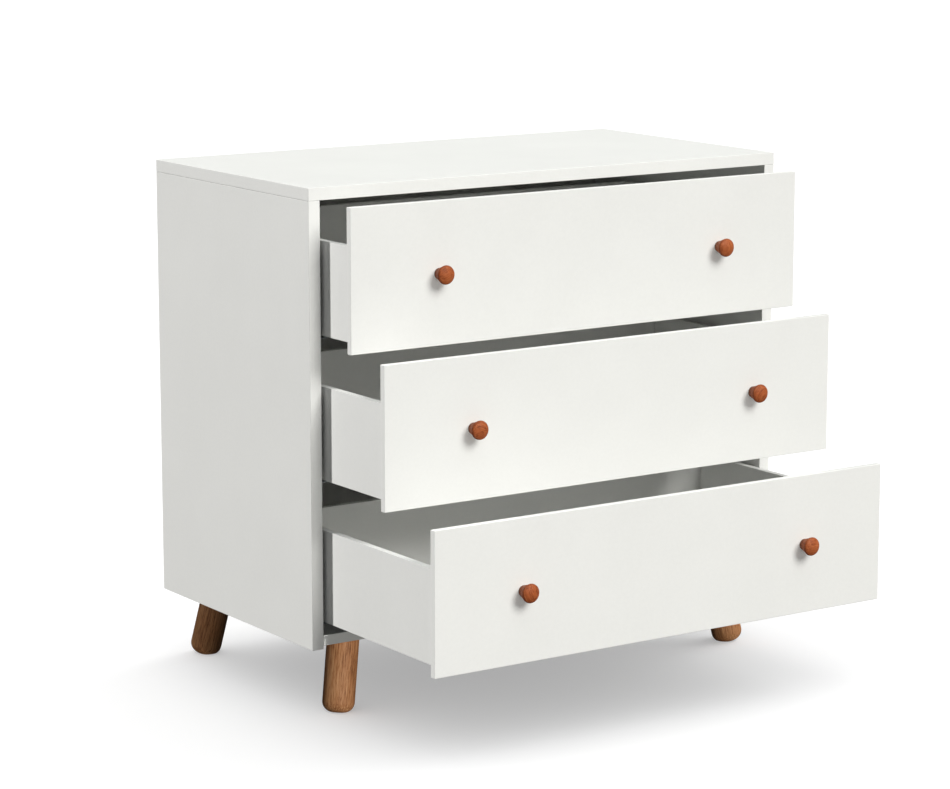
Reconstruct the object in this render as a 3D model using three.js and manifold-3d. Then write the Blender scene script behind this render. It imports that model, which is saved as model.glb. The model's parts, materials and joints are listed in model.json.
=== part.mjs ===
// Three-drawer chest with inset fronts, turned knobs and splayed, turned legs.
//
// Units are millimetres: +X to the right, +Y to the back, +Z up. The origin is on the floor, at the
// centre of the box around the whole chest. The three drawers stand open by DRAWER_OPENINGS.
//
// Inside this file the cabinet's own frame is used: x from its left side, y from its front, z from
// the floor. The last lines move the finished group to the origin.

import * as THREE from 'three';
import { mergeVertices } from 'three/addons/utils/BufferGeometryUtils.js';
import Module from 'manifold-3d';

const wasm = await Module();
wasm.setup();

// ---------------------------------------------------------------- driving dimensions

const GAP = 0.3; // between pieces that touch

// Cabinet
const WIDTH = 1000;
const DEPTH = 533;
const PANEL = 22; // thickness of the top and the sides
const SIDE_HEIGHT = 775;
const SIDE_CLEARANCE = 125; // floor to the lower edge of the sides
const BASE_THICKNESS = 18;
const BASE_SETBACK = 6; // the bottom panel sits this far above the sides' lower edge
const BACK_THICKNESS = 6;
const BACK_RECESS = 1; // the back panel sits this far inside the rear edges of the sides
const REBATE_WIDTH = 10; // step in the sides that takes the back panel

// Drawer fronts, inset between the cabinet's boards
const DRAWER_OPENINGS = { bottom: 343, middle: 194, top: 92 };
const FRONT_THICKNESS = 12;
const SIDE_REVEAL = 3;
const LOWER_REVEAL = 2; // under each front
const TOP_REVEAL = 3; // between the highest front and the top panel

// Drawer boxes
const BOX_CLEARANCE = 5.6; // drawer side to cabinet side
const BOX_LENGTH = 498; // behind the front
const BOX_BOARD = 12;
const BOX_HEIGHT = 162;
const BOX_RISE = 20; // lower edge of the box above the lower edge of its front
const BOTTOM_BOARD = 6;
const BOTTOM_RECESS = 13; // groove above the lower edge of the box
const GROOVE_DEPTH = 5;

// Knobs and their screws
const KNOB_INSET = 200; // from the cabinet's sides
const KNOB_LENGTH = 29;
const KNOB_BASE_RADIUS = 9.8;
const KNOB_RADIUS = 16.5;
const KNOB_RIM_HEIGHT = 21.6; // of the widest ring, above the front
const KNOB_RIM_ROUNDING = 3.9;
const KNOB_HOLE_DEPTH = 15;
const SCREW_RADIUS = 2;
const SCREW_HEAD_RADIUS = 4.5;
const SCREW_HEAD_HEIGHT = 2.4;

// Legs, leaning outwards from head to foot
const LEG_RADIUS = 28.5;
const FOOT_ROUNDING = 14;
const FOOT_INSET_X = 67; // foot centre on the floor, from the cabinet's outline
const FOOT_INSET_Y = 29;
const FOOT_TRIM = 1.5; // sawn off the turned foot, level with the floor
const SPLAY_X = 0.185; // sideways run for each unit of height
const SPLAY_Y = 0.146;
const BOLT_RADIUS = 4;
const BOLT_IN_LEG = 35;
const BOLT_IN_BASE = 14;

// Runners: three nested channels of bent sheet at each side of each drawer
const SHEET = 1.2;
const RUNNER_SETBACK = 8; // behind the back of the closed front
const CABINET_RAIL_LENGTH = 478;
const MIDDLE_RAIL_LENGTH = 460;
const DRAWER_RAIL_LENGTH = 474;

const ROUND_STEPS = { knob: 24, leg: 28, bolt: 12, screw: 12 };

// ---------------------------------------------------------------- derived dimensions

const BASE_UNDERSIDE = SIDE_CLEARANCE + BASE_SETBACK;
const BASE_TOP = BASE_UNDERSIDE + BASE_THICKNESS;
const BACK_FRONT = DEPTH - BACK_RECESS - BACK_THICKNESS; // front face of the back panel
const TOP_UNDERSIDE = SIDE_CLEARANCE + SIDE_HEIGHT;
const DRAWER_NAMES = Object.keys(DRAWER_OPENINGS); // from the lowest up
const FRONT_SPACE = TOP_UNDERSIDE - TOP_REVEAL - BASE_TOP;
const FRONT_PITCH = FRONT_SPACE / DRAWER_NAMES.length;
const FRONT_HEIGHT = FRONT_PITCH - LOWER_REVEAL;
const BOX_LEFT = PANEL + BOX_CLEARANCE; // outer face of a drawer's left side
const BOX_INSIDE = BOX_LEFT + BOX_BOARD;
const BOX_BACK = FRONT_THICKNESS + BOX_LENGTH;

// ---------------------------------------------------------------- materials

function material(color, roughness, metalness = 0) {
  return new THREE.MeshStandardMaterial({ color, roughness, metalness });
}

const whiteLacquer = material(0xf1f1ee, 0.4);
const drawerWhite = material(0xe9e9e6, 0.5);
const backBoardWhite = material(0xdcdcd8, 0.65);
const legWood = material(0xa5714a, 0.55);
const knobWood = material(0xb0603a, 0.45);
const zincSteel = material(0xb9bdc1, 0.35, 0.9);

// ---------------------------------------------------------------- shape helpers

function box([x0, x1], [y0, y1], [z0, z1]) {
  const geometry = new THREE.BoxGeometry(x1 - x0, y1 - y0, z1 - z0);
  return geometry.translate((x0 + x1) / 2, (y0 + y1) / 2, (z0 + z1) / 2);
}

// An outline in x and y, standing up from z0 to z1.
function uprightPrism(outline, z0, z1) {
  const shape = new THREE.Shape(outline.map(([x, y]) => new THREE.Vector2(x, y)));
  return new THREE.ExtrudeGeometry(shape, { depth: z1 - z0, bevelEnabled: false }).translate(0, 0, z0);
}

// An outline in x and z, running from y0 back to y1.
function prismAlongY(outline, y0, y1) {
  const shape = new THREE.Shape(outline.map(([x, z]) => new THREE.Vector2(x, z)));
  const geometry = new THREE.ExtrudeGeometry(shape, { depth: y1 - y0, bevelEnabled: false });
  return geometry.rotateX(Math.PI / 2).translate(0, y1, 0);
}

// A profile of [radius, height] points, turned about the y axis.
function turned(profile, steps) {
  return new THREE.LatheGeometry(profile.map(([r, h]) => new THREE.Vector2(r, h)), steps);
}

function cylinder(radius, y0, y1, steps) {
  return new THREE.CylinderGeometry(radius, radius, y1 - y0, steps).translate(0, (y0 + y1) / 2, 0);
}

// Points of an arc from angle a0 to a1, in degrees, about (centreX, centreY).
function arc(centreX, centreY, radius, a0, a1, steps) {
  return Array.from({ length: steps + 1 }, (_, i) => {
    const angle = THREE.MathUtils.degToRad(a0 + ((a1 - a0) * i) / steps);
    return [centreX + radius * Math.cos(angle), centreY + radius * Math.sin(angle)];
  });
}

// The outline of a sheet bent along a line of points, with mitred corners.
function bentSheet(line) {
  const normals = line.slice(1).map(([x, z], i) => {
    const along = new THREE.Vector2(x - line[i][0], z - line[i][1]).normalize();
    return new THREE.Vector2(-along.y, along.x);
  });
  const offsets = line.map((_, i) => {
    const before = normals[Math.max(i - 1, 0)];
    const after = normals[Math.min(i, normals.length - 1)];
    const mitre = before.clone().add(after);
    return mitre.multiplyScalar(SHEET / 2 / (1 + before.dot(after)));
  });
  const side = (sign) => line.map(([x, z], i) => [x + sign * offsets[i].x, z + sign * offsets[i].y]);
  return [...side(-1), ...side(1).reverse()];
}

function toSolid(geometry) {
  const bare = geometry.clone();
  bare.deleteAttribute('normal');
  bare.deleteAttribute('uv');
  const merged = mergeVertices(bare);
  const vertProperties = new Float32Array(merged.attributes.position.array);
  const triVerts = new Uint32Array(merged.index.array);
  return new wasm.Manifold(new wasm.Mesh({ numProp: 3, vertProperties, triVerts }));
}

function cut(geometry, ...tools) {
  const solid = tools.reduce((rest, tool) => rest.subtract(toSolid(tool)), toSolid(geometry));
  const mesh = solid.getMesh();
  const result = new THREE.BufferGeometry();
  result.setAttribute('position', new THREE.BufferAttribute(mesh.vertProperties, 3));
  result.setIndex(new THREE.BufferAttribute(mesh.triVerts, 1));
  result.computeVertexNormals();
  return result;
}

function addPiece(group, name, geometry, pieceMaterial) {
  const mesh = new THREE.Mesh(geometry, pieceMaterial);
  mesh.name = name;
  group.add(mesh);
}

// Each piece of a sideways pair is drawn by its distance x from the cabinet's near side.
const SIDES = { left: (x) => x, right: (x) => WIDTH - x };

function mirroredOutline(side, outline) {
  return outline.map(([x, other]) => [SIDES[side](x), other]);
}

// ---------------------------------------------------------------- legs and their bolts

// The four corners, as the signs of the way from the foot to the middle of the cabinet.
const CORNERS = {
  front_left: [1, 1],
  front_right: [-1, 1],
  rear_left: [1, -1],
  rear_right: [-1, -1],
};

// Moves a shape made on the y axis onto a leg's axis. The y axis's zero goes to the leg's head,
// where the axis meets the underside of the bottom panel.
function ontoLegAxis(geometry, [toMiddleX, toMiddleY]) {
  const insetX = FOOT_INSET_X + SPLAY_X * BASE_UNDERSIDE;
  const insetY = FOOT_INSET_Y + SPLAY_Y * BASE_UNDERSIDE;
  const headX = WIDTH / 2 - toMiddleX * (WIDTH / 2 - insetX);
  const headY = DEPTH / 2 - toMiddleY * (DEPTH / 2 - insetY);
  const axis = new THREE.Vector3(SPLAY_X * toMiddleX, SPLAY_Y * toMiddleY, 1).normalize();
  const turn = new THREE.Quaternion().setFromUnitVectors(new THREE.Vector3(0, 1, 0), axis);
  return geometry.applyQuaternion(turn).translate(headX, headY, BASE_UNDERSIDE);
}

function legBoltHole(corner) {
  const hole = cylinder(BOLT_RADIUS + GAP, -BOLT_IN_LEG - 1, BOLT_IN_BASE + 1, ROUND_STEPS.bolt);
  return ontoLegAxis(hole, corner);
}

function makeLeg(corner) {
  const turnedLength = BASE_UNDERSIDE * Math.hypot(SPLAY_X, SPLAY_Y, 1) + FOOT_TRIM;
  const spare = 12; // extra length at the head, cut off level below
  const roundingCentre = FOOT_ROUNDING - turnedLength;
  const profile = [
    [0, -turnedLength],
    ...arc(LEG_RADIUS - FOOT_ROUNDING, roundingCentre, FOOT_ROUNDING, -90, 0, 5),
    [LEG_RADIUS, spare],
    [0, spare],
  ];
  const blank = ontoLegAxis(turned(profile, ROUND_STEPS.leg), corner);
  const everywhereX = [-WIDTH, 2 * WIDTH];
  const everywhereY = [-DEPTH, 2 * DEPTH];
  const above = box(everywhereX, everywhereY, [BASE_UNDERSIDE - GAP, TOP_UNDERSIDE]);
  const belowFloor = box(everywhereX, everywhereY, [-SIDE_CLEARANCE, 0]);
  return cut(blank, above, belowFloor, legBoltHole(corner));
}

function makeLegBolt(corner) {
  return ontoLegAxis(cylinder(BOLT_RADIUS, -BOLT_IN_LEG, BOLT_IN_BASE, ROUND_STEPS.bolt), corner);
}

function addLegs(group) {
  for (const [place, corner] of Object.entries(CORNERS)) {
    addPiece(group, `leg_${place}`, makeLeg(corner), legWood);
    addPiece(group, `leg_bolt_${place}`, makeLegBolt(corner), zincSteel);
  }
}

// ---------------------------------------------------------------- cabinet

function makeSidePanel(side) {
  const rebateFront = BACK_FRONT - GAP;
  const rebateSide = PANEL - REBATE_WIDTH;
  const outline = [
    [0, 0],
    [PANEL, 0],
    [PANEL, rebateFront],
    [rebateSide, rebateFront],
    [rebateSide, DEPTH],
    [0, DEPTH],
  ];
  return uprightPrism(mirroredOutline(side, outline), SIDE_CLEARANCE, TOP_UNDERSIDE - GAP);
}

function makeBottomPanel() {
  const across = [PANEL + GAP, WIDTH - PANEL - GAP];
  const panel = box(across, [0, BACK_FRONT - GAP], [BASE_UNDERSIDE, BASE_TOP]);
  return cut(panel, ...Object.values(CORNERS).map(legBoltHole));
}

function makeBackPanel() {
  const inset = PANEL - REBATE_WIDTH + GAP;
  const through = [BACK_FRONT, BACK_FRONT + BACK_THICKNESS];
  return box([inset, WIDTH - inset], through, [BASE_UNDERSIDE, TOP_UNDERSIDE - GAP]);
}

function addCabinet(group) {
  const topPanel = box([0, WIDTH], [0, DEPTH], [TOP_UNDERSIDE, TOP_UNDERSIDE + PANEL]);
  addPiece(group, 'top_panel', topPanel, whiteLacquer);
  for (const side of Object.keys(SIDES)) {
    addPiece(group, `${side}_side_panel`, makeSidePanel(side), whiteLacquer);
  }
  addPiece(group, 'bottom_panel', makeBottomPanel(), whiteLacquer);
  addPiece(group, 'back_panel', makeBackPanel(), backBoardWhite);
}

// ---------------------------------------------------------------- runners

// Outlines in x, from the cabinet's side, and z, from the lower edge of the drawer box. Each rail
// wraps over the one inside it with a running gap.

function cabinetRailOutline() {
  const wall = PANEL + GAP + SHEET / 2;
  return bentSheet([
    [wall, 24],
    [wall, -7.4],
    [BOX_INSIDE + 6, -7.4],
    [BOX_INSIDE + 6, 8],
    [BOX_INSIDE + 22.2, 8],
    [BOX_INSIDE + 22.2, -3],
  ]);
}

function middleRailOutline() {
  return bentSheet([
    [BOX_INSIDE + 3.6, 0],
    [BOX_INSIDE + 3.6, 10.2],
    [BOX_INSIDE + 24.6, 10.2],
    [BOX_INSIDE + 24.6, 0],
  ]);
}

function drawerRailOutline() {
  return bentSheet([
    [BOX_INSIDE + 1.2, 4],
    [BOX_INSIDE + 1.2, BOTTOM_RECESS - SHEET / 2],
    [BOX_INSIDE + 27, BOTTOM_RECESS - SHEET / 2],
    [BOX_INSIDE + 27, 1],
  ]);
}

function makeRail(side, outline, boxFloor, start, length) {
  const placed = outline.map(([x, z]) => [x, z + boxFloor]);
  return prismAlongY(mirroredOutline(side, placed), start, start + length);
}

function addRunners(group, drawer) {
  const start = FRONT_THICKNESS + RUNNER_SETBACK;
  const halfway = start - drawer.opening / 2;
  const pulledOut = start - drawer.opening;
  for (const side of Object.keys(SIDES)) {
    const rail = (outline, y, length) => makeRail(side, outline, drawer.boxFloor, y, length);
    const prefix = `${drawer.name}_drawer_${side}`;
    const fixed = rail(cabinetRailOutline(), start, CABINET_RAIL_LENGTH);
    const between = rail(middleRailOutline(), halfway, MIDDLE_RAIL_LENGTH);
    const moving = rail(drawerRailOutline(), pulledOut, DRAWER_RAIL_LENGTH);
    addPiece(group, `${prefix}_cabinet_rail`, fixed, zincSteel);
    addPiece(group, `${prefix}_middle_rail`, between, zincSteel);
    addPiece(group, `${prefix}_drawer_rail`, moving, zincSteel);
  }
}

// ---------------------------------------------------------------- knobs and their screws

// Turned about the y axis, with the base at zero, then laid down to point out of the front.
function makeKnob() {
  const hole = SCREW_RADIUS + GAP;
  const rim = arc(KNOB_RADIUS - KNOB_RIM_ROUNDING, KNOB_RIM_HEIGHT, KNOB_RIM_ROUNDING, -20, 58, 4);
  const [faceRadius, faceHeight] = rim.at(-1);
  const rise = KNOB_LENGTH - faceHeight; // of the domed face
  const domeRadius = (faceRadius ** 2 + rise ** 2) / (2 * rise);
  const domeStart = THREE.MathUtils.radToDeg(Math.acos(faceRadius / domeRadius));
  const dome = arc(0, KNOB_LENGTH - domeRadius, domeRadius, domeStart, 90, 3);
  const profile = [
    [0, KNOB_HOLE_DEPTH],
    [hole, KNOB_HOLE_DEPTH],
    [hole, GAP],
    [KNOB_BASE_RADIUS, GAP],
    [KNOB_BASE_RADIUS + 1, 5],
    [KNOB_BASE_RADIUS + 2.6, 10.3],
    [KNOB_BASE_RADIUS + 4.4, 15.5],
    ...rim,
    ...dome.slice(1, -1),
    [0, KNOB_LENGTH],
  ];
  return turned(profile, ROUND_STEPS.knob).rotateX(Math.PI);
}

function makeKnobScrew() {
  const headUnderside = -FRONT_THICKNESS - GAP;
  const headTop = headUnderside - SCREW_HEAD_HEIGHT;
  const profile = [
    [0, headTop],
    [SCREW_HEAD_RADIUS * 0.7, headTop],
    [SCREW_HEAD_RADIUS, headTop + SCREW_HEAD_HEIGHT * 0.5],
    [SCREW_HEAD_RADIUS, headUnderside],
    [SCREW_RADIUS, headUnderside],
    [SCREW_RADIUS, KNOB_HOLE_DEPTH - 1],
    [0, KNOB_HOLE_DEPTH - 1],
  ];
  return turned(profile, ROUND_STEPS.screw).rotateX(Math.PI);
}

// ---------------------------------------------------------------- drawers

function makeFront(drawer) {
  const across = [PANEL + SIDE_REVEAL, WIDTH - PANEL - SIDE_REVEAL];
  const board = box(across, [0, FRONT_THICKNESS], [drawer.floor, drawer.floor + FRONT_HEIGHT]);
  const grooveX = [BOX_INSIDE - GROOVE_DEPTH, WIDTH - BOX_INSIDE + GROOVE_DEPTH];
  const grooveY = [FRONT_THICKNESS - GROOVE_DEPTH, FRONT_THICKNESS + 1];
  const screwHoles = Object.values(SIDES).map((placeX) => {
    const hole = cylinder(SCREW_RADIUS + GAP, -1, FRONT_THICKNESS + 1, ROUND_STEPS.screw);
    return hole.translate(placeX(KNOB_INSET), 0, drawer.middle);
  });
  return cut(board, box(grooveX, grooveY, grooveHeight(drawer)), ...screwHoles);
}

function grooveHeight(drawer) {
  const low = drawer.boxFloor + BOTTOM_RECESS;
  return [low, low + BOTTOM_BOARD + 2 * GAP];
}

function makeBoxSide(side, drawer) {
  const [grooveLow, grooveHigh] = grooveHeight(drawer);
  const grooveEnd = BOX_INSIDE - GROOVE_DEPTH;
  const top = drawer.boxFloor + BOX_HEIGHT;
  const outline = [
    [BOX_LEFT, drawer.boxFloor],
    [BOX_INSIDE, drawer.boxFloor],
    [BOX_INSIDE, grooveLow],
    [grooveEnd, grooveLow],
    [grooveEnd, grooveHigh],
    [BOX_INSIDE, grooveHigh],
    [BOX_INSIDE, top],
    [BOX_LEFT, top],
  ];
  return prismAlongY(mirroredOutline(side, outline), FRONT_THICKNESS + GAP, BOX_BACK);
}

function makeBoxBack(drawer) {
  const across = [BOX_INSIDE + GAP, WIDTH - BOX_INSIDE - GAP];
  const bottom = grooveHeight(drawer)[1];
  return box(across, [BOX_BACK - BOX_BOARD, BOX_BACK], [bottom, drawer.boxFloor + BOX_HEIGHT]);
}

function makeBoxBottom(drawer) {
  const inset = BOX_INSIDE - GROOVE_DEPTH + GAP;
  const front = FRONT_THICKNESS - GROOVE_DEPTH + GAP;
  const [grooveLow, grooveHigh] = grooveHeight(drawer);
  return box([inset, WIDTH - inset], [front, BOX_BACK], [grooveLow + GAP, grooveHigh - GAP]);
}

// The drawer is drawn closed and then pulled out of the cabinet by its opening.
function addDrawer(group, drawer) {
  const pulledOut = new THREE.Group();
  pulledOut.position.y = -drawer.opening;
  group.add(pulledOut);
  const prefix = `${drawer.name}_drawer`;
  addPiece(pulledOut, `${prefix}_front`, makeFront(drawer), whiteLacquer);
  addPiece(pulledOut, `${prefix}_back`, makeBoxBack(drawer), drawerWhite);
  addPiece(pulledOut, `${prefix}_bottom`, makeBoxBottom(drawer), drawerWhite);
  for (const [side, placeX] of Object.entries(SIDES)) {
    addPiece(pulledOut, `${prefix}_${side}_side`, makeBoxSide(side, drawer), drawerWhite);
    const atKnob = new THREE.Group();
    atKnob.position.set(placeX(KNOB_INSET), 0, drawer.middle);
    pulledOut.add(atKnob);
    addPiece(atKnob, `${prefix}_${side}_knob`, makeKnob(), knobWood);
    addPiece(atKnob, `${prefix}_${side}_knob_screw`, makeKnobScrew(), zincSteel);
  }
}

function describeDrawer(name, index) {
  const floor = BASE_TOP + index * FRONT_PITCH + LOWER_REVEAL;
  return {
    name,
    opening: DRAWER_OPENINGS[name],
    floor,
    middle: floor + FRONT_HEIGHT / 2,
    boxFloor: floor + BOX_RISE,
  };
}

// ---------------------------------------------------------------- assembly

const chest = new THREE.Group();
addCabinet(chest);
addLegs(chest);
for (const drawer of DRAWER_NAMES.map(describeDrawer)) {
  addDrawer(chest, drawer);
  addRunners(chest, drawer);
}

const furthestForward = Math.max(...Object.values(DRAWER_OPENINGS)) + KNOB_LENGTH;
chest.position.set(-WIDTH / 2, -(DEPTH - furthestForward) / 2, 0);

export default chest;
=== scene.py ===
"""Looks, lights and camera for a white three-drawer chest with turned wooden knobs and legs."""

import json
import math

import bmesh
import bpy
from mathutils import Matrix, Vector

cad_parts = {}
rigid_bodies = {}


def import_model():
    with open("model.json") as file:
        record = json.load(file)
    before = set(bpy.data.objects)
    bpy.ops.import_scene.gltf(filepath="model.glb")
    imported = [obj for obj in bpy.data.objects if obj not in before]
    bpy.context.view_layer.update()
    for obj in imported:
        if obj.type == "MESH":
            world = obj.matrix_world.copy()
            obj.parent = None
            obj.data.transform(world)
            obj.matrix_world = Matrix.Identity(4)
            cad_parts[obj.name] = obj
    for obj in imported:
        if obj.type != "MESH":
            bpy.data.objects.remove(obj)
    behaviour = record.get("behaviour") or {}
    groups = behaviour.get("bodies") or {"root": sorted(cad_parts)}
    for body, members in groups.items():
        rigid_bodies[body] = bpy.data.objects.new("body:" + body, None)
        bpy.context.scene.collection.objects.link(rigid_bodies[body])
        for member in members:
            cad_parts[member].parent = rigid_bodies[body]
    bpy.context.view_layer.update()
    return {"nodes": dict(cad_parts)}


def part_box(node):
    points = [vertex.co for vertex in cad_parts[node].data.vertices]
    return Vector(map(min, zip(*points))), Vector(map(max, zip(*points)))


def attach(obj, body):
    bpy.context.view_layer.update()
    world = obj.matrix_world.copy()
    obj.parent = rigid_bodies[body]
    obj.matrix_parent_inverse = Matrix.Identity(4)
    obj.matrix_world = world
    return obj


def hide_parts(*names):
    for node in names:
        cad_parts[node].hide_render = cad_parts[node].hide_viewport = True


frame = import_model()

MM = 0.001
DRAWERS = ("top", "middle", "bottom")
SIDES = {"left": 1, "right": -1}  # the sign of the way from that side to the middle
CORNERS = ("front_left", "front_right", "rear_left", "rear_right")
NODES = frame["nodes"]

# ---------------------------------------------------------------- camera

LENS = 119.0  # mm
SENSOR = 36.0  # mm
CAMERA_AZIMUTH = -34.0  # degrees from straight in front, towards the chest's left
CAMERA_ELEVATION = 10.53
CAMERA_DISTANCE = 5.4
CAMERA_REACH = 200.0  # past the floor's far edge
CAMERA_TARGET = Vector((-0.2142, -0.154, 0.5539))


def direction(azimuth, elevation):
    """From the chest to a place round it. Azimuth 0 is straight in front, 90 is to its right."""
    a, e = math.radians(azimuth), math.radians(elevation)
    return Vector((math.sin(a) * math.cos(e), -math.cos(a) * math.cos(e), math.sin(e)))


def make_camera():
    back = direction(CAMERA_AZIMUTH, CAMERA_ELEVATION)
    data = bpy.data.cameras.new("camera")
    data.lens = LENS
    data.sensor_width = SENSOR
    data.clip_end = CAMERA_REACH
    camera = bpy.data.objects.new("camera", data)
    camera.location = CAMERA_TARGET + back * CAMERA_DISTANCE
    camera.rotation_euler = (-back).to_track_quat("-Z", "Y").to_euler()
    bpy.context.scene.collection.objects.link(camera)
    bpy.context.scene.camera = camera


# ---------------------------------------------------------------- shader helpers

GRAIN = "grain"  # mesh attribute: a vertex's place in the blank, before turning it into position
BLANK_PITCH = 0.11  # metres of the same blank from one knob to the next


class Shader:
    """A material under construction: makes nodes and joins them."""

    def __init__(self, name, metallic=0.0, specular=0.5):
        self.material = bpy.data.materials.new(name)
        self.material.use_nodes = True
        self.tree = self.material.node_tree
        self.surface = self.tree.nodes["Principled BSDF"]
        self.surface.inputs["Metallic"].default_value = metallic
        self.surface.inputs["Specular IOR Level"].default_value = specular
        self.coordinates = self.node("ShaderNodeTexCoord").outputs["Object"]

    def node(self, kind, settings=None, **inputs):
        """A node with its settings. Inputs are named with _ in place of spaces."""
        made = self.tree.nodes.new(kind)
        for name, value in (settings or {}).items():
            setattr(made, name, value)
        for name, value in inputs.items():
            self.feed(made.inputs[name.replace("_", " ")], value)
        return made

    def feed(self, socket, value):
        if isinstance(value, bpy.types.NodeSocket):
            self.tree.links.new(value, socket)
        else:
            socket.default_value = value

    def set(self, name, value):
        self.feed(self.surface.inputs[name], value)

    def stretched(self, scale, turn=(0, 0, 0), vector=None):
        """Coordinates turned and then scaled along each axis."""
        turned = self.node(
            "ShaderNodeMapping", Vector=vector or self.coordinates, Rotation=turn
        )
        scaled = self.node(
            "ShaderNodeMapping", Vector=turned.outputs["Vector"], Scale=scale
        )
        return scaled.outputs["Vector"]

    def noise(self, vector, scale, detail=2.0, roughness=0.5):
        kind = "ShaderNodeTexNoise"
        return self.node(kind, Vector=vector, Scale=scale, Detail=detail, Roughness=roughness)

    def maths(self, operation, first, second=0.0, clamp=False):
        made = self.node("ShaderNodeMath", {"operation": operation, "use_clamp": clamp})
        self.feed(made.inputs[0], first)
        self.feed(made.inputs[1], second)
        return made.outputs["Value"]

    def weighted(self, *terms):
        """The sum of (value, share) pairs, each value times its share."""
        parts = [self.maths("MULTIPLY", value, share) for value, share in terms]
        total = parts[0]
        for part in parts[1:]:
            total = self.maths("ADD", total, part)
        return total

    def spread(self, value, low, high, out_low=0.0, out_high=1.0):
        """The range low to high stretched over the output range, and held at its ends."""
        made = self.node(
            "ShaderNodeMapRange",
            Value=value,
            From_Min=low,
            From_Max=high,
            To_Min=out_low,
            To_Max=out_high,
        )
        return made.outputs["Result"]

    def ramp(self, value, stops):
        made = self.node("ShaderNodeValToRGB", Fac=value)
        elements = made.color_ramp.elements
        while len(elements) < len(stops):
            elements.new(1.0)
        for element, (place, colour) in zip(elements, stops):
            element.position = place
            element.color = (*colour, 1.0)
        return made.outputs["Color"]

    def mix(self, share, first, second, blend="MIX"):
        made = self.node("ShaderNodeMix", {"data_type": "RGBA", "blend_type": blend})
        self.feed(made.inputs[0], share)
        for socket, value in ((made.inputs[6], first), (made.inputs[7], second)):
            self.feed(socket, (*value, 1.0) if isinstance(value, tuple) else value)
        return made.outputs[2]

    def bump(self, height, distance):
        made = self.node("ShaderNodeBump", Height=height, Distance=distance, Strength=1.0)
        self.set("Normal", made.outputs["Normal"])


# ---------------------------------------------------------------- materials

# Noise scales, per metre
CLOUDS = 7.0
SPECKS = 160.0
ORANGE_PEEL = 520.0
GRAIN_WANDER = 28.0
WOOD_PATCHES = 26.0
ROLLING_LINES = 1400.0
ZINC_CLOUDS = 45.0
MOULD_GRAIN = 1800.0

# Heights of the relief, in metres
WOOD_RELIEF = 0.00012
ZINC_RELIEF = 0.00003
PLASTIC_RELIEF = 0.00004

WANDER_REACH = 0.006  # metres that the grain strays by
RING_SHIFT = (0.055, 0.021, 0)  # puts the middle of the tree's rings outside the turned piece
PAINTED_BASE_SHADE = (0.38, 0.42, 0.37)  # painted shade: how much darker a knob's base is made, near the drawer front under its head
PAINTED_RIM_SHADE = (0.74, 0.7, 0.7)  # painted shade: and how much darker its rim is made, all round the head
RIM_BLEND = 1.22  # the painted rim shade is full at this many times the dark_rim radius


def lacquered_board(name, colour, roughness, peel_height):
    """Sprayed lacquer on smooth board: a faint orange peel and slight clouding."""
    s = Shader(name, specular=0.45)
    clouds = s.noise(s.coordinates, CLOUDS, detail=3.0).outputs["Fac"]
    specks = s.noise(s.coordinates, SPECKS, detail=3.0, roughness=0.6).outputs["Fac"]
    darker = tuple(channel * 0.965 for channel in colour)
    shade = s.weighted((clouds, 0.55), (specks, 0.45))
    s.set("Base Color", s.mix(s.spread(shade, 0.35, 0.65), darker, colour))
    s.set("Roughness", s.spread(specks, 0.3, 0.7, roughness - 0.04, roughness + 0.06))
    peel = s.noise(s.coordinates, ORANGE_PEEL, detail=1.5).outputs["Fac"]
    s.bump(peel, peel_height)
    return s.material


def turned_radius(s, blank):
    """The distance from a knob's own axis, whichever stretch of the blank the knob is cut from."""
    place = s.node("ShaderNodeSeparateXYZ", Vector=blank).outputs
    wrapped = s.node("ShaderNodeMath", {"operation": "WRAP"})
    for socket, value in zip(wrapped.inputs, (place["X"], BLANK_PITCH / 2, -BLANK_PITCH / 2)):
        s.feed(socket, value)
    squares = [s.maths("MULTIPLY", part, part) for part in (wrapped.outputs[0], place["Y"])]
    return s.maths("SQRT", s.maths("ADD", *squares))


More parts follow.
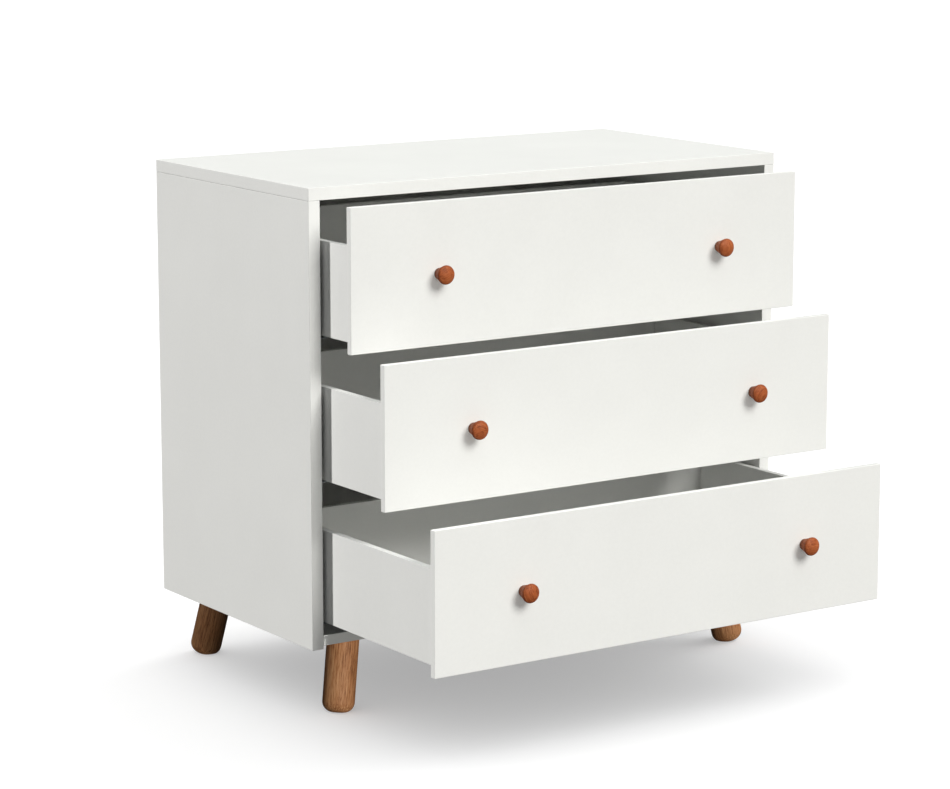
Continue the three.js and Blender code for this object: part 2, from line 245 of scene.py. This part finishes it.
def wood(name, tones, grain_turn, ring_spacing, fibre, roughness, dark_base=0.0, dark_rim=0.0):
    """Oiled, turned hardwood. After grain_turn the grain runs along z.

    fibre is the width of a streak. dark_base is a height: painted shade darkens the wood from
    there down to the base. dark_rim is a radius: painted shade darkens the turned edge outside it.
    """
    s = Shader(name, specular=0.2)
    blank = s.node("ShaderNodeAttribute", {"attribute_name": GRAIN}).outputs["Vector"]
    along_z = s.stretched((1, 1, 1), grain_turn, vector=blank)
    wander = s.noise(s.stretched((1, 1, 0.12), vector=along_z), GRAIN_WANDER)
    drift = s.node("ShaderNodeVectorMath", {"operation": "SCALE"}, Scale=WANDER_REACH)
    s.feed(drift.inputs[0], wander.outputs["Color"])
    wavy = s.node("ShaderNodeVectorMath", {"operation": "ADD"})
    s.feed(wavy.inputs[0], along_z)
    s.feed(wavy.inputs[1], drift.outputs["Vector"])
    off_centre = s.node(
        "ShaderNodeMapping", Vector=wavy.outputs["Vector"], Location=RING_SHIFT
    )
    rings = s.node(
        "ShaderNodeTexWave",
        {"wave_type": "RINGS", "rings_direction": "Z", "wave_profile": "SAW"},
        Vector=off_centre.outputs["Vector"],
        Scale=math.pi / 10 / ring_spacing,
        Distortion=1.5,
        Detail=2.0,
        Detail_Scale=1.6,
    ).outputs["Fac"]
    fibre_space = s.stretched((1, 1, 0.06), vector=wavy.outputs["Vector"])
    fibres = s.noise(fibre_space, 1 / fibre, detail=3.0, roughness=0.6).outputs["Fac"]
    pore_space = s.stretched((1, 1, 0.08), vector=wavy.outputs["Vector"])
    pore_noise = s.noise(pore_space, 2.2 / fibre).outputs["Fac"]
    pores = s.spread(pore_noise, 0.56, 0.68)
    patches = s.noise(s.stretched((1, 1, 0.3), vector=along_z), WOOD_PATCHES).outputs["Fac"]
    streaks = (s.spread(fibres, 0.32, 0.68), 0.5)
    tone = s.weighted((rings, 0.22), streaks, (s.spread(patches, 0.35, 0.65), 0.28))
    tone = s.maths("SUBTRACT", tone, s.maths("MULTIPLY", pores, 0.28), clamp=True)
    dark, middle, light = tones
    colour = s.ramp(tone, ((0.06, dark), (0.46, middle), (0.92, light)))
    # painted shade: the knob's base, near the drawer front, is darkened in the colour
    if dark_base:
        height = s.node("ShaderNodeSeparateXYZ", Vector=blank).outputs["Z"]
        colour = s.mix(s.spread(height, dark_base, 0.0), colour, PAINTED_BASE_SHADE, "MULTIPLY")
    # painted shade: the rim all round the knob's head is darkened in the colour
    if dark_rim:
        edge = s.spread(turned_radius(s, blank), dark_rim, dark_rim * RIM_BLEND)
        colour = s.mix(edge, colour, PAINTED_RIM_SHADE, "MULTIPLY")
    s.set("Base Color", colour)
    s.set("Roughness", s.spread(tone, 0.0, 1.0, roughness + 0.1, roughness - 0.06))
    relief = s.maths("SUBTRACT", s.maths("MULTIPLY", fibres, 0.5), pores)
    s.bump(relief, WOOD_RELIEF)
    return s.material


def zinc_steel():
    """Zinc-plated strip, rolled lengthwise along the runners."""
    s = Shader("zinc_steel", metallic=1.0)
    rolled = s.noise(s.stretched((1, 0.03, 1)), ROLLING_LINES, detail=3.0).outputs["Fac"]
    cloudy = s.noise(s.coordinates, ZINC_CLOUDS, detail=3.0).outputs["Fac"]
    s.set("Base Color", s.mix(s.spread(cloudy, 0.3, 0.7), (0.56, 0.58, 0.61), (0.68, 0.7, 0.72)))
    s.set("Roughness", s.spread(rolled, 0.3, 0.7, 0.26, 0.42))
    s.bump(rolled, ZINC_RELIEF)
    return s.material


def moulded_plastic(name, colour):
    s = Shader(name)
    grain = s.noise(s.coordinates, MOULD_GRAIN).outputs["Fac"]
    darker = tuple(channel * 0.9 for channel in colour)
    s.set("Base Color", s.mix(s.spread(grain, 0.3, 0.7), darker, colour))
    s.set("Roughness", s.spread(grain, 0.3, 0.7, 0.42, 0.55))
    s.bump(grain, PLASTIC_RELIEF)
    return s.material


WHITE = lacquered_board("cabinet_lacquer", (0.80, 0.803, 0.785), 0.42, 0.000018)
BOX_WHITE = lacquered_board("drawer_box_foil", (0.78, 0.783, 0.766), 0.5, 0.000026)
BACK_WHITE = lacquered_board("back_board_foil", (0.70, 0.70, 0.68), 0.62, 0.00004)
LEG_WOOD = wood(
    "leg_walnut",
    ((0.15, 0.056, 0.02), (0.43, 0.19, 0.078), (0.62, 0.34, 0.17)),
    grain_turn=(0, 0, 0),
    ring_spacing=0.0042,
    fibre=0.0019,
    roughness=0.55,
)
KNOB_WOOD = wood(
    "knob_cherry",
    ((0.16, 0.035, 0.009), (0.35, 0.084, 0.023), (0.46, 0.143, 0.048)),
    grain_turn=(0, math.radians(90), 0),
    ring_spacing=0.0035,
    fibre=0.0016,
    roughness=0.55,
    # dark_base and dark_rim paint shade onto the knob's base and onto its rim
    dark_base=0.015,
    dark_rim=0.0135,
)
STEEL = zinc_steel()
CLIP_GREY = moulded_plastic("clip_grey_plastic", (0.34, 0.35, 0.36))

# ---------------------------------------------------------------- mesh helpers

SHARP = math.radians(40)  # an edge that turns by more than this stays crisp or is eased
ON_AXIS = 1e-7  # a smaller radius is a point on the axis
QUARTER_TURN = math.radians(90)


def add_object(name, mesh, material, body, matrix=None):
    """A new piece on a CAD body, in place by its matrix."""
    made = bpy.data.objects.new(name, mesh)
    if material.name not in mesh.materials:
        mesh.materials.append(material)
    bpy.context.scene.collection.objects.link(made)
    made.matrix_world = matrix or Matrix.Identity(4)
    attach(made, body)
    return made


def arc(centre, radius, first, last, steps):
    """Points from angle first to last, in degrees, as (radius, height) pairs."""
    points = []
    for i in range(steps + 1):
        angle = math.radians(first + (last - first) * i / steps)
        points.append((centre[0] + radius * math.cos(angle), centre[1] + radius * math.sin(angle)))
    return points


def curve_through(points, steps):
    """A smooth run through (radius, height) points, ends included."""
    padded = [points[0], *points, points[-1]]
    smooth = []
    for i in range(len(points) - 1):
        p0, p1, p2, p3 = (Vector(p) for p in padded[i : i + 4])
        for k in range(steps):
            t = k / steps
            blend = 2 * p1 + (p2 - p0) * t
            blend += (2 * p0 - 5 * p1 + 4 * p2 - p3) * t * t
            blend += (3 * p1 - p0 - 3 * p2 + p3) * t * t * t
            smooth.append(tuple(blend / 2))
    smooth.append(tuple(points[-1]))
    return smooth


def turned_bmesh(profile, steps):
    """A profile of (radius, height) turned about z, closed where it meets the axis."""
    made = bmesh.new()
    angles = [2 * math.pi * i / steps for i in range(steps)]
    rings = []
    for radius, height in profile:
        if radius < ON_AXIS:
            rings.append([made.verts.new((0, 0, height))])
            continue
        circle = [(radius * math.cos(angle), radius * math.sin(angle)) for angle in angles]
        rings.append([made.verts.new((x, y, height)) for x, y in circle])
    for lower, upper in zip(rings, rings[1:]):
        for i in range(steps):
            j = (i + 1) % steps
            corners = [lower[i % len(lower)], lower[j % len(lower)]]
            corners += [upper[j % len(upper)], upper[i % len(upper)]]
            unique = dict.fromkeys(corners)  # a point on the axis is in there twice
            made.faces.new(list(unique))
    bmesh.ops.recalc_face_normals(made, faces=made.faces)
    return made


def plain_mesh(name, shape):
    """Ends a bmesh and gives its mesh."""
    mesh = bpy.data.meshes.new(name)
    shape.to_mesh(mesh)
    shape.free()
    return mesh


def smooth_mesh(name, shape):
    """Ends a bmesh with smooth shading and its sharp edges kept crisp."""
    for edge in shape.edges:
        edge.smooth = edge.calc_face_angle(math.pi) < SHARP
    for face in shape.faces:
        face.smooth = True
    return plain_mesh(name, shape)


def turned_mesh(name, shape, place, grain_shift):
    """A turned shape put in its place. Each vertex remembers where in the wood it was cut."""
    mesh = smooth_mesh(name, shape)
    grain = mesh.attributes.new(GRAIN, "FLOAT_VECTOR", "POINT")
    for vertex, cut_from in zip(mesh.vertices, grain.data):
        cut_from.vector = vertex.co + grain_shift
    mesh.transform(place)
    return mesh


# ---------------------------------------------------------------- boards and rails

WELD_DISTANCE = 1e-5
BOARDS = {  # each board's material and the width of its eased edges
    "top_panel": (WHITE, 0.7 * MM),
    "left_side_panel": (WHITE, 0.7 * MM),
    "right_side_panel": (WHITE, 0.7 * MM),
    "bottom_panel": (WHITE, 0.7 * MM),
    "back_panel": (BACK_WHITE, 0.4 * MM),
}
DRAWER_BOARDS = {
    "front": (WHITE, 0.8 * MM),
    "back": (BOX_WHITE, 0.5 * MM),
    "bottom": (BOX_WHITE, 0.3 * MM),
    "left_side": (BOX_WHITE, 0.6 * MM),
    "right_side": (BOX_WHITE, 0.6 * MM),
}
RAILS = ("cabinet_rail", "middle_rail", "drawer_rail")
RAIL_EASING = 0.45 * MM
BOLT_EASING = 0.3 * MM


def soften_edges(node, width, segments):
    """Eases the arrises of a CAD node. Its own mesh stays as it is."""
    weld = node.modifiers.new("weld", "WELD")
    weld.merge_threshold = WELD_DISTANCE
    bevel = node.modifiers.new("eased_edges", "BEVEL")
    bevel.width = width
    bevel.segments = segments
    bevel.limit_method = "ANGLE"
    bevel.angle_limit = SHARP


def finish_node(name, material, edge_width, segments=3):
    node = NODES[name]
    for slot in node.material_slots:
        slot.material = material
    soften_edges(node, edge_width, segments)


def finish_boards():
    for name, (material, easing) in BOARDS.items():
        finish_node(name, material, easing)
    for drawer in DRAWERS:
        for board, (material, easing) in DRAWER_BOARDS.items():
            finish_node(f"{drawer}_drawer_{board}", material, easing)


def finish_rails_and_bolts():
    for drawer in DRAWERS:
        for side in SIDES:
            for rail in RAILS:
                finish_node(f"{drawer}_drawer_{side}_{rail}", STEEL, RAIL_EASING, segments=2)
    for corner in CORNERS:
        finish_node(f"leg_bolt_{corner}", STEEL, BOLT_EASING, segments=2)


# ---------------------------------------------------------------- turned legs

LEG_STEPS = 96  # round the leg
LEG_RINGS = 6  # along it
FOOT_STEPS = 14  # round the foot's edge
FOOT_ROUNDING = 19 * MM
FOOT_SPARE = 1.5 * MM  # extra length at the foot, which the level cut takes off
LEG_SPARE = 15 * MM  # extra length in all, the rest of it above the level cut at the head
CUT_DISTANCE = 1e-7
LEG_SPIN = 1.1  # radians from one leg's grain to the next
LEG_BLANK_PITCH = 0.37  # metres of the same blank from one leg to the next


def axis_of(node):
    """Where a CAD cylinder's axis runs: the middle of its lower end and the way upwards."""
    corners = {tuple(round(c, 6) for c in vertex.co) for vertex in node.data.vertices}
    points = [Vector(corner) for corner in sorted(corners)]
    middle = sum((p.z for p in points), 0.0) / len(points)
    lower = [p for p in points if p.z < middle]
    upper = [p for p in points if p.z >= middle]
    low = sum(lower, Vector()) / len(lower)
    high = sum(upper, Vector()) / len(upper)
    return low, (high - low).normalized()


def level_cut(shape, to_local, height, keep_above):
    """Cuts a shape along the level plane at a height and closes the cut."""
    point = to_local @ Vector((0, 0, height))
    normal = to_local.to_3x3() @ Vector((0, 0, -1 if keep_above else 1))
    everything = list(shape.verts) + list(shape.edges) + list(shape.faces)
    cut = bmesh.ops.bisect_plane(
        shape,
        geom=everything,
        dist=CUT_DISTANCE,
        plane_co=point,
        plane_no=normal,
        clear_outer=True,
    )
    rim = [item for item in cut["geom_cut"] if isinstance(item, bmesh.types.BMEdge)]
    bmesh.ops.contextual_create(shape, geom=rim)


def make_leg(corner, index):
    node = NODES[f"leg_{corner}"]
    low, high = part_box(f"leg_{corner}")
    on_axis, axis = axis_of(NODES[f"leg_bolt_{corner}"])
    radius = max((v.co - on_axis).cross(axis).length for v in node.data.vertices)
    foot = on_axis - axis * ((on_axis.z - low.z) / axis.z)
    spin = Matrix.Rotation(LEG_SPIN * index, 3, "Z").to_quaternion()
    turn = axis.to_track_quat("Z", "Y") @ spin
    place = Matrix.Translation(foot) @ turn.to_matrix().to_4x4()
    length = (high.z - low.z) / axis.z + LEG_SPARE
    edge = -FOOT_SPARE + FOOT_ROUNDING
    rounding = arc((radius - FOOT_ROUNDING, edge), FOOT_ROUNDING, -90, 0, FOOT_STEPS)
    straight = length - FOOT_ROUNDING
    heights = [edge + straight * k / LEG_RINGS for k in range(1, LEG_RINGS + 1)]
    profile = [(0, -FOOT_SPARE), *rounding, *((radius, h) for h in heights), (0, heights[-1])]
    shape = turned_bmesh(profile, LEG_STEPS)
    to_local = place.inverted()
    level_cut(shape, to_local, low.z, keep_above=True)
    level_cut(shape, to_local, high.z, keep_above=False)
    grain_shift = Vector((0, 0, LEG_BLANK_PITCH * index))
    mesh = turned_mesh(f"turned_leg_{corner}", shape, place, grain_shift)
    piece = add_object(mesh.name, mesh, LEG_WOOD, "cabinet")
    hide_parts(f"leg_{corner}")


# ---------------------------------------------------------------- knobs

KNOB_STEPS = 72  # round the knob
KNOB_BASE_RADIUS = 9.8 * MM
KNOB_BASE_GAP = 0.3 * MM  # between the drawer front and the knob
KNOB_BASE_EASING = 0.5 * MM
KNOB_EDGE_HEIGHT = 0.7 * MM  # where the easing of the base ends
KNOB_RIM_HEIGHT = 21.6 * MM  # of the middle of the rim's rounding
KNOB_RIM_ROUNDING = 3.9 * MM
KNOB_RIM_ARC = (-20, 58)  # degrees up from level
RIM_STEPS = 12
DOME_STEPS = 14
FLANK_STEPS = 5  # between two points of the flank
KNOB_FLARE = (  # how much wider than the base, and at what height
    (1 * MM, 5 * MM),
    (2.6 * MM, 10.3 * MM),
    (4.4 * MM, 15.5 * MM),
)
KNOB_SPIN = (25, 67)  # degrees: the first knob's grain, and from one knob to the next


def knob_profile(length, radius):
    """A flaring body, a widest ring with a rounded rim, and a domed face."""
    rim_centre = (radius - KNOB_RIM_ROUNDING, KNOB_RIM_HEIGHT)
    rim = arc(rim_centre, KNOB_RIM_ROUNDING, *KNOB_RIM_ARC, RIM_STEPS)
    face_radius, face_height = rim[-1]
    rise = length - face_height
    dome_radius = (face_radius**2 + rise**2) / (2 * rise)
    dome_start = math.degrees(math.acos(face_radius / dome_radius))
    dome = arc((0, length - dome_radius), dome_radius, dome_start, 90, DOME_STEPS)
    base = [(0, KNOB_BASE_GAP), (KNOB_BASE_RADIUS - KNOB_BASE_EASING, KNOB_BASE_GAP)]
    base_edge = (KNOB_BASE_RADIUS, KNOB_EDGE_HEIGHT)
    flare = [(KNOB_BASE_RADIUS + widening, height) for widening, height in KNOB_FLARE]
    flank = curve_through([base_edge, *flare, rim[0]], FLANK_STEPS)
    return [*base, *flank, *rim[1:], *dome[1:-1], (0, length)]


def make_knobs():
    for row, drawer in enumerate(DRAWERS):
        for column, side in enumerate(SIDES):
            name = f"{drawer}_drawer_{side}_knob"
            low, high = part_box(name)
            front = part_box(f"{drawer}_drawer_front")[0].y
            centre = Vector(((low.x + high.x) / 2, front, (low.z + high.z) / 2))
            profile = knob_profile(length=front - low.y, radius=(high.x - low.x) / 2)
            shape = turned_bmesh(profile, KNOB_STEPS)
            index = len(SIDES) * row + column
            first_spin, next_spin = KNOB_SPIN
            spin = Matrix.Rotation(math.radians(first_spin + next_spin * index), 4, "Z")
            point_out = Matrix.Rotation(QUARTER_TURN, 4, "X")
            place = Matrix.Translation(centre) @ point_out @ spin
            mesh = turned_mesh(f"turned_{name}", shape, place, Vector((BLANK_PITCH * index, 0, 0)))
            piece = add_object(mesh.name, mesh, KNOB_WOOD, f"{drawer}_drawer")
            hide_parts(name)


# ---------------------------------------------------------------- screws

# Head radius, head height, shank radius and shank length
KNOB_SCREW = (4.5 * MM, 2.4 * MM, 2 * MM, 26 * MM)
RAIL_SCREW = (3.6 * MM, 1.6 * MM, 1.6 * MM, 12 * MM)
BACK_SCREW = (3.4 * MM, 0.9 * MM, 1.3 * MM, 5 * MM)

SCREW_STEPS = 32  # round the screw
SCREW_DOME_STEPS = 8
SCREW_RIM = 0.35  # the share of the head's height that is below its dome
POINT_RADIUS = 0.8  # of the shank's chamfered end, as a share of the shank's radius
POINT_HEIGHT = 0.4  # of that chamfer, as a share of it too
CROSS_LENGTH = 1.1  # in head radii
CROSS_WIDTH = 0.24  # in head radii
CROSS_DEPTH = 1.2  # in head heights, with half of it above CROSS_LEVEL
CROSS_LEVEL = 0.95  # in head heights
CROSS_TAPER = 0.35  # the length at the bottom as a share of that at the top

RAIL_SHEET = 1.2 * MM
RAIL_SCREW_PLACES = (0.08, 0.5, 0.92)  # shares of the rail's length
RAIL_SCREW_DROP = 9 * MM  # from the rail's upper edge
BACK_SCREW_ROWS = 5
BACK_SCREW_COLUMNS = 4
BACK_SCREW_INSET = 5 * MM  # from the back panel's upright edges
BACK_SCREW_MARGIN = 40 * MM  # from its upper and lower edges
BACK_SCREW_RAISE = 9 * MM  # of the row along the lower edge


def screw_mesh(name, head_radius, head_height, shank_radius, shank_length):
    """A pan-head screw along z: head above z = 0 with a cross recess, shank below."""
    rim = SCREW_RIM * head_height
    dome = arc((0, rim), 1.0, 0, 90, SCREW_DOME_STEPS)
    dome = [(x * head_radius, rim + (y - rim) * (head_height - rim)) for x, y in dome]
    profile = [(0, -shank_length), (shank_radius * POINT_RADIUS, -shank_length)]
    profile += [(shank_radius, -shank_length + shank_radius * POINT_HEIGHT), (shank_radius, 0)]
    profile += [(head_radius, 0), *dome[:-1], (0, head_height)]
    screw = smooth_mesh(name, turned_bmesh(profile, SCREW_STEPS))
    cross = bmesh.new()
    for turn in (0, QUARTER_TURN):
        bar = bmesh.ops.create_cube(cross, size=1.0)["verts"]
        size = (head_radius * CROSS_LENGTH, head_radius * CROSS_WIDTH, head_height * CROSS_DEPTH)
        bmesh.ops.scale(cross, verts=bar, vec=size)
        for vert in bar:
            if vert.co.z < 0:
                vert.co.x *= CROSS_TAPER
        bmesh.ops.rotate(cross, verts=bar, matrix=Matrix.Rotation(turn, 3, "Z"))
    bmesh.ops.translate(cross, verts=cross.verts, vec=(0, 0, head_height * CROSS_LEVEL))
    return cut_mesh(screw, plain_mesh("cross_tool", cross))


def cut_mesh(mesh, tool_mesh):
    """The mesh with the tool's shape cut out of it."""
    body = bpy.data.objects.new("cut_body", mesh)
    tool = bpy.data.objects.new("cut_tool", tool_mesh)
    for thing in (body, tool):
        bpy.context.scene.collection.objects.link(thing)
    boolean = body.modifiers.new("cut", "BOOLEAN")
    boolean.operation = "DIFFERENCE"
    boolean.solver = "EXACT"
    boolean.use_self = True
    boolean.object = tool
    evaluated = body.evaluated_get(bpy.context.evaluated_depsgraph_get())
    result = bpy.data.meshes.new_from_object(evaluated)
    result.name = mesh.name
    bpy.data.objects.remove(body)
    bpy.data.objects.remove(tool)
    return result


def make_knob_screws():
    mesh = screw_mesh("knob_screw", *KNOB_SCREW)
    head_height = KNOB_SCREW[1]
    for drawer in DRAWERS:
        for side in SIDES:
            name = f"{drawer}_drawer_{side}_knob_screw"
            low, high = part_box(name)
            seat = high.y - head_height
            place = Matrix.Translation(((low.x + high.x) / 2, seat, (low.z + high.z) / 2))
            place = place @ Matrix.Rotation(-QUARTER_TURN, 4, "X")
            body = f"{drawer}_drawer"
            piece = add_object(f"pan_head_{name}", mesh, STEEL, body, place)
            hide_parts(name)


def make_rail_screws():
    """Three low screws hold each cabinet rail to its side panel."""
    mesh = screw_mesh("rail_screw", *RAIL_SCREW)
    for drawer in DRAWERS:
        for side, inwards in SIDES.items():
            low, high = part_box(f"{drawer}_drawer_{side}_cabinet_rail")
            wall = low.x if inwards > 0 else high.x
            x, z = wall + inwards * RAIL_SHEET, high.z - RAIL_SCREW_DROP
            for k, share in enumerate(RAIL_SCREW_PLACES):
                y = low.y + (high.y - low.y) * share
                place = Matrix.Translation((x, y, z))
                place = place @ Matrix.Rotation(inwards * QUARTER_TURN, 4, "Y")
                name = f"{drawer}_{side}_rail_screw_{k + 1}"
                add_object(name, mesh, STEEL, "cabinet", place)


def make_back_screws():
    """Small screws hold the back panel in its rebates, their heads inside the rear edges."""
    mesh = screw_mesh("back_screw", *BACK_SCREW)
    low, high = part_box("back_panel")
    tall = high.z - low.z - 2 * BACK_SCREW_MARGIN
    rows = [k / (BACK_SCREW_ROWS - 1) for k in range(BACK_SCREW_ROWS)]
    heights = [low.z + BACK_SCREW_MARGIN + tall * row for row in rows]
    uprights = (low.x + BACK_SCREW_INSET, high.x - BACK_SCREW_INSET)
    spots = [(x, z) for x in uprights for z in heights]
    for k in range(BACK_SCREW_COLUMNS):
        share = (k + 1) / (BACK_SCREW_COLUMNS + 1)
        spots.append((low.x + (high.x - low.x) * share, low.z + BACK_SCREW_RAISE))
    for k, (x, z) in enumerate(spots):
        place = Matrix.Translation((x, high.y, z)) @ Matrix.Rotation(-QUARTER_TURN, 4, "X")
        add_object(f"back_panel_screw_{k + 1}", mesh, STEEL, "cabinet", place)


# ---------------------------------------------------------------- runner clips

CLIP_BLOCKS = (  # size and centre in mm, under the drawer bottom at z = 0
    ((30, 46, 2.2), (0, 0, -1.1)),  # base
    ((22, 30, 5.0), (0, 3, -4.5)),  # housing
    ((10, 22, 2.4), (-4, -17, -5.4)),  # thumb lever
)
CLIP_EASING = 0.7 * MM
CLIP_SETBACK = 18 * MM  # from the drawer rail's front end
CLIP_INSET = 17 * MM  # from the rail's inner edge to the clip's middle
CLIP_GAP = 0.2 * MM


def clip_mesh():
    """A front locking clip: a flat base, a raised housing and a thumb lever."""
    shape = bmesh.new()
    for size, centre in CLIP_BLOCKS:
        verts = bmesh.ops.create_cube(shape, size=1.0)["verts"]
        bmesh.ops.scale(shape, verts=verts, vec=[v * MM for v in size])
        bmesh.ops.translate(shape, verts=verts, vec=[v * MM for v in centre])
    edges = shape.edges[:]
    bmesh.ops.bevel(
        shape, geom=edges, offset=CLIP_EASING, segments=2, affect="EDGES", profile=0.5
    )
    return smooth_mesh("locking_clip", shape)


def make_clips():
    mesh = clip_mesh()
    for drawer in DRAWERS:
        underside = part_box(f"{drawer}_drawer_bottom")[0].z
        for side, inwards in SIDES.items():
            low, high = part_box(f"{drawer}_drawer_{side}_drawer_rail")
            inner = high.x if inwards > 0 else low.x
            x, y = inner + inwards * CLIP_INSET, low.y + CLIP_SETBACK
            place = Matrix.Translation((x, y, underside - CLIP_GAP))
            if inwards < 0:
                place = place @ Matrix.Rotation(math.pi, 4, "Z")
            name = f"{drawer}_{side}_locking_clip"
            add_object(name, mesh, CLIP_GREY, f"{drawer}_drawer", place)


# ---------------------------------------------------------------- floor and light

FLOOR_SIZE = 120.0
FLOOR_WHITE = 0.7  # as the camera sees it
FLOOR_GLOW = 0.377  # light that the floor gives off itself, as a lit studio table does
FLOOR_BOUNCE = 0.11  # how white it is for the light that it throws back onto the chest
AMBIENT = 0.05
SKY = (0.975, 0.99, 1.0)
PLAIN_WHITE = (1, 1, 1, 1)
KEY = (12, 36)  # azimuth and elevation in degrees
KEY_SOFTNESS = 32
KEY_COLOUR = (1.0, 0.99, 0.96)
LEG_LIGHT = (1.0, 0.98, 0.94)


def grey(value):
    return (value, value, value, 1)


def seen_or_lit(tree, seen, lit, output):
    """Ends a node tree in which the camera sees one shader and the light meets the other."""
    path = tree.nodes.new("ShaderNodeLightPath")
    choose = tree.nodes.new("ShaderNodeMixShader")
    tree.links.new(path.outputs["Is Camera Ray"], choose.inputs["Fac"])
    tree.links.new(lit.outputs[0], choose.inputs[1])
    tree.links.new(seen.outputs[0], choose.inputs[2])
    end = tree.nodes.new(output)
    tree.links.new(choose.outputs[0], end.inputs["Surface"])


def make_floor():
    """A white studio floor. The camera sees a glowing one, and the light meets a duller one."""
    shape = bmesh.new()
    bmesh.ops.create_grid(shape, x_segments=1, y_segments=1, size=FLOOR_SIZE / 2)
    mesh = plain_mesh("studio_floor", shape)
    floor = bpy.data.objects.new("studio_floor", mesh)
    bpy.context.scene.collection.objects.link(floor)
    material = bpy.data.materials.new("studio_floor")
    material.use_nodes = True
    mesh.materials.append(material)
    nodes, links = material.node_tree.nodes, material.node_tree.links
    nodes.clear()
    surface = nodes.new("ShaderNodeBsdfDiffuse")
    surface.inputs["Color"].default_value = grey(FLOOR_WHITE)
    glow = nodes.new("ShaderNodeEmission")
    glow.inputs["Color"].default_value = PLAIN_WHITE
    glow.inputs["Strength"].default_value = FLOOR_GLOW
    bright = nodes.new("ShaderNodeAddShader")
    links.new(surface.outputs[0], bright.inputs[0])
    links.new(glow.outputs[0], bright.inputs[1])
    bounce = nodes.new("ShaderNodeBsdfDiffuse")
    bounce.inputs["Color"].default_value = grey(FLOOR_BOUNCE)
    seen_or_lit(material.node_tree, bright, bounce, "ShaderNodeOutputMaterial")
    return floor


def make_world():
    """Soft light all round. The camera sees plain white behind the object."""
    world = bpy.data.worlds.new("studio")
    bpy.context.scene.world = world
    world.use_nodes = True
    nodes = world.node_tree.nodes
    nodes.clear()
    soft = nodes.new("ShaderNodeBackground")
    soft.inputs["Color"].default_value = (*SKY, 1)
    soft.inputs["Strength"].default_value = AMBIENT
    white = nodes.new("ShaderNodeBackground")
    white.inputs["Color"].default_value = PLAIN_WHITE
    seen_or_lit(world.node_tree, white, soft, "ShaderNodeOutputWorld")


def make_sun(name, azimuth, elevation, strength, softness, colour):
    """A distant light from that direction, softer the more degrees of the sky it fills."""
    towards = direction(azimuth, elevation)
    data = bpy.data.lights.new(name, "SUN")
    data.energy = strength * math.pi
    data.angle = math.radians(softness)
    data.color = colour
    lamp = bpy.data.objects.new(name, data)
    lamp.rotation_euler = towards.to_track_quat("Z", "Y").to_euler()
    bpy.context.scene.collection.objects.link(lamp)
    return lamp


def light_only(lamp, *pieces):
    """The lamp lights these pieces and nothing else."""
    lit = bpy.data.collections.new(f"{lamp.name}_lights")
    for piece in pieces:
        lit.objects.link(piece)
    lamp.light_linking.receiver_collection = lit


def light_all_but(lamp, *pieces):
    """The lamp lights everything except these pieces."""
    light_only(lamp, *pieces)
    for member in lamp.light_linking.receiver_collection.collection_objects:
        member.light_linking.link_state = "EXCLUDE"


def light_alone(lamp, *pieces):
    """The lamp lights these pieces and nothing else, and nothing else shades them from it."""
    light_only(lamp, *pieces)
    lamp.light_linking.blocker_collection = lamp.light_linking.receiver_collection


def unshaded_by(lamp, *pieces):
    """These pieces cast no shadow in the lamp's light."""
    passed = bpy.data.collections.new(f"{lamp.name}_passes")
    for piece in pieces:
        passed.objects.link(piece)
    lamp.light_linking.blocker_collection = passed
    for member in passed.collection_objects:
        member.light_linking.link_state = "EXCLUDE"


def make_object_lights(floor):
    turned = {
        piece.name: piece for piece in bpy.data.objects if piece.name.startswith("turned_")
    }
    legs = {corner: turned[f"turned_leg_{corner}"] for corner in CORNERS}
    knobs = [piece for name, piece in turned.items() if name.endswith("knob")]

    rear = make_sun("rear_left_light", -130, 15, 0.97, 4, (1.0, 0.99, 0.97))
    light_all_but(rear, floor, *legs.values())
    key = make_sun("key_light", *KEY, 0.85, KEY_SOFTNESS, KEY_COLOUR)
    light_all_but(key, floor)
    haze = make_sun("key_haze", *KEY, 0.37, KEY_SOFTNESS, KEY_COLOUR)
    light_all_but(haze, floor)
    unshaded_by(haze, *knobs)  # which makes the knobs' shadows lighter
    overhead = make_sun("overhead_light", 0, 90, 0.37, 60, (0.95, 1.0, 1.0))
    light_all_but(overhead, floor)
    right = make_sun("right_side_light", 104, 3, 0.46, 30, (1.0, 0.995, 0.98))
    light_all_but(right, floor, *turned.values())
    near_leg = make_sun("near_leg_light", -4, 8, 0.76, 40, LEG_LIGHT)
    light_alone(near_leg, legs["front_left"])
    far_leg = make_sun("far_leg_light", -12, 8, 0.36, 40, LEG_LIGHT)
    light_alone(far_leg, legs["front_right"])
    low_left = make_sun("low_left_light", -84, 5, 0.3, 80, (1.0, 0.98, 0.93))
    light_alone(low_left, legs["rear_left"], legs["rear_right"])
    under = make_sun("under_drawer_light", -34, 4, 0.24, 20, (1.0, 1.0, 0.95))
    light_alone(under, bpy.data.objects["bottom_panel"])


def make_floor_lights(floor):
    dome = make_sun("floor_dome", 0, 90, 0.96, 150, (1.0, 1.0, 1.0))
    light_only(dome, floor)
    side = make_sun("floor_side_light", 90, 25, 0.52, 50, (1.0, 1.0, 1.0))
    light_only(side, floor)


def make_lights(floor):
    make_world()
    make_object_lights(floor)
    make_floor_lights(floor)
    bpy.context.scene.view_settings.view_transform = "Standard"
    bpy.context.scene.view_settings.look = "None"


# ---------------------------------------------------------------- assembly

make_camera()
finish_boards()
finish_rails_and_bolts()
for place_index, leg_corner in enumerate(CORNERS):
    make_leg(leg_corner, place_index)
make_knobs()
make_knob_screws()
make_rail_screws()
make_back_screws()
make_clips()
make_lights(make_floor())
